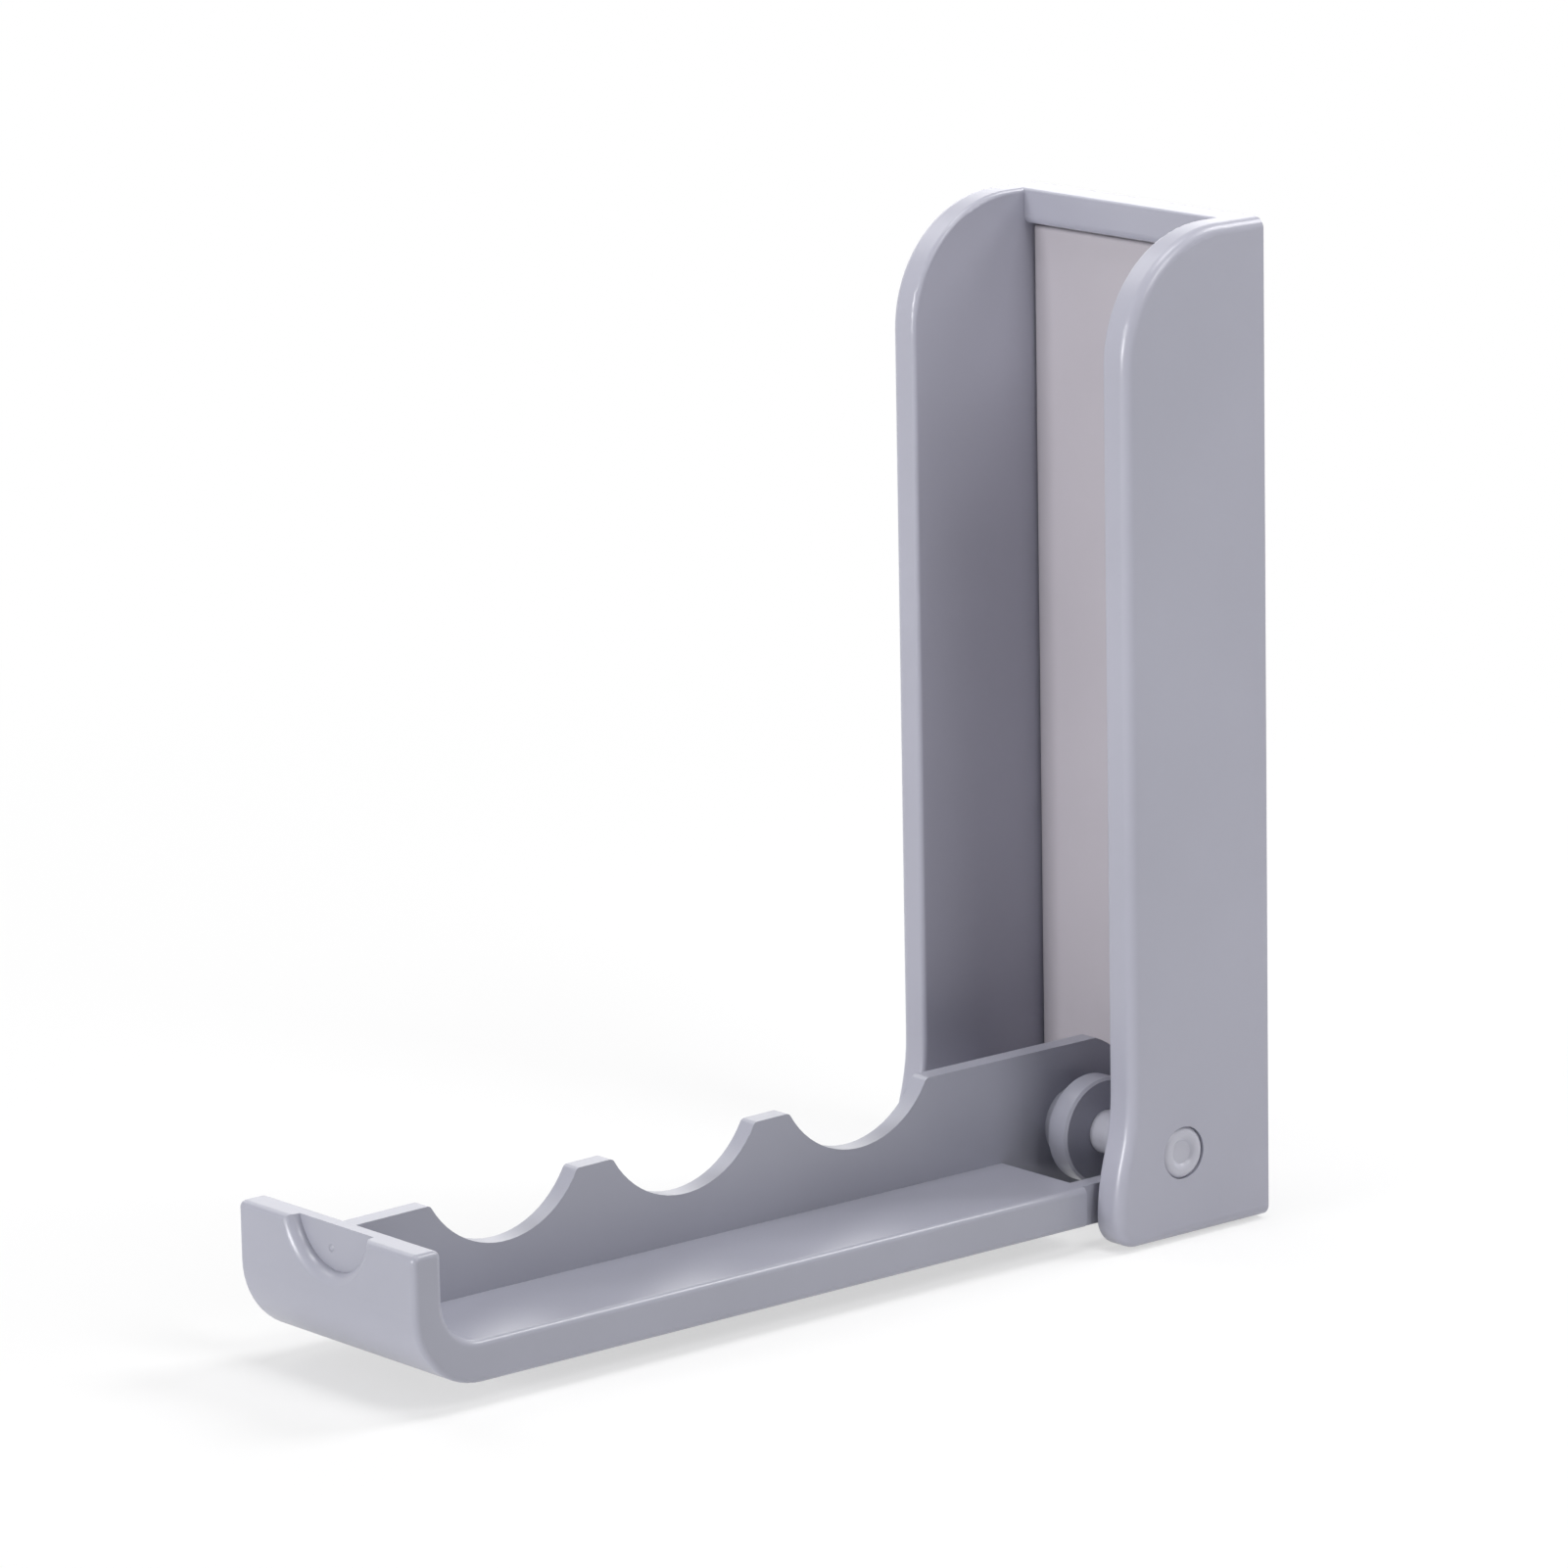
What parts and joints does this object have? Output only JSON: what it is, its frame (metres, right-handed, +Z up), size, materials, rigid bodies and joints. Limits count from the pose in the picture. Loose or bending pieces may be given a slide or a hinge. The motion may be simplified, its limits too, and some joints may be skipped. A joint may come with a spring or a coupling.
{
  "type": "folding wall hook",
  "caption": "Wall hook whose notched arm folds down level from a slim moulded channel to hold clothes hangers, and folds up flush when not in use.",
  "frame": {"origin": "middle of the flat back that lies on the wall", "axes": "+X across the hook, +Y into the wall, +Z up; the arm reaches along -Y when it is let down"},
  "size_m": [0.055, 0.166, 0.16],
  "materials": {
    "housing_plastic": "satin moulded",
    "plate_plastic": "satin moulded",
    "pin_plastic": "satin moulded",
    "arm_plastic": "satin moulded"
  },
  "bodies": {
    "root": {"housing": "housing_plastic", "wall_plate": "plate_plastic", "hinge_pin": "pin_plastic"},
    "arm": {"arm": "arm_plastic"}
  },
  "joints": [
    {"name": "fold", "type": "hinge", "parent": "root", "child": "arm", "pos_m": [0, -0.01825, -0.06625], "axis": [-1, 0, 0], "range_deg": [0, 90]}
  ]
}
